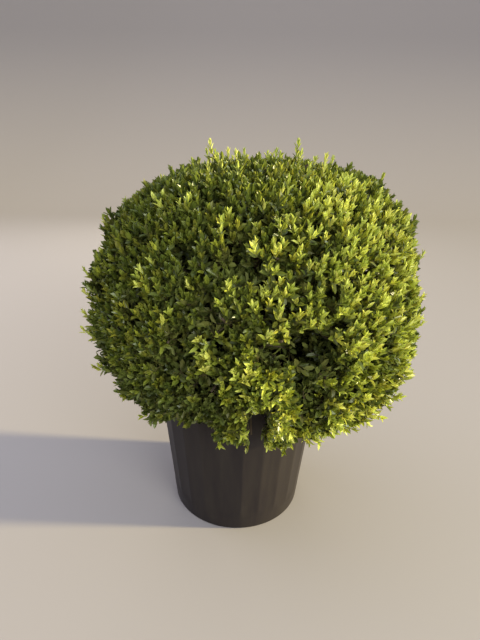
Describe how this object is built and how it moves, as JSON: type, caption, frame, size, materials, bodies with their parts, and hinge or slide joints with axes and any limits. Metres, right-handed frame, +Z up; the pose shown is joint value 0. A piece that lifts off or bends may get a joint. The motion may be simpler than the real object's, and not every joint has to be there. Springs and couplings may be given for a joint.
{
  "type": "potted myrtle ball",
  "caption": "Evergreen small-leaved shrub clipped to a dense ball on a short trunk, in a round black tapered nursery pot.",
  "frame": {"origin": "centre of the pot's flat underside", "axes": "+Z up; -Y is the front that the picture shows; +X to the right in the picture"},
  "size_m": [1.0044, 0.9876, 1.1524],
  "materials": {
    "pot": "matte",
    "potting_mix": "matte",
    "bark": "matte",
    "foliage": "satin"
  },
  "bodies": {
    "root": {"pot": "pot", "potting_mix": "potting_mix", "trunk": "bark", "bough_shoulder_1": "bark", "bough_shoulder_2": "bark", "bough_shoulder_3": "bark", "bough_shoulder_4": "bark", "bough_shoulder_5": "bark", "bough_waist_1": "bark", "bough_waist_2": "bark", "bough_waist_3": "bark", "bough_waist_4": "bark", "bough_waist_5": "bark", "bough_waist_6": "bark", "bough_waist_7": "bark", "bough_waist_8": "bark", "foliage_top": "foliage", "foliage_shoulder_1": "foliage", "foliage_shoulder_2": "foliage", "foliage_shoulder_3": "foliage", "foliage_shoulder_4": "foliage", "foliage_shoulder_5": "foliage", "foliage_waist_1": "foliage", "foliage_waist_2": "foliage", "foliage_waist_3": "foliage", "foliage_waist_4": "foliage", "foliage_waist_5": "foliage", "foliage_waist_6": "foliage", "foliage_waist_7": "foliage", "foliage_waist_8": "foliage"}
  },
  "joints": []
}
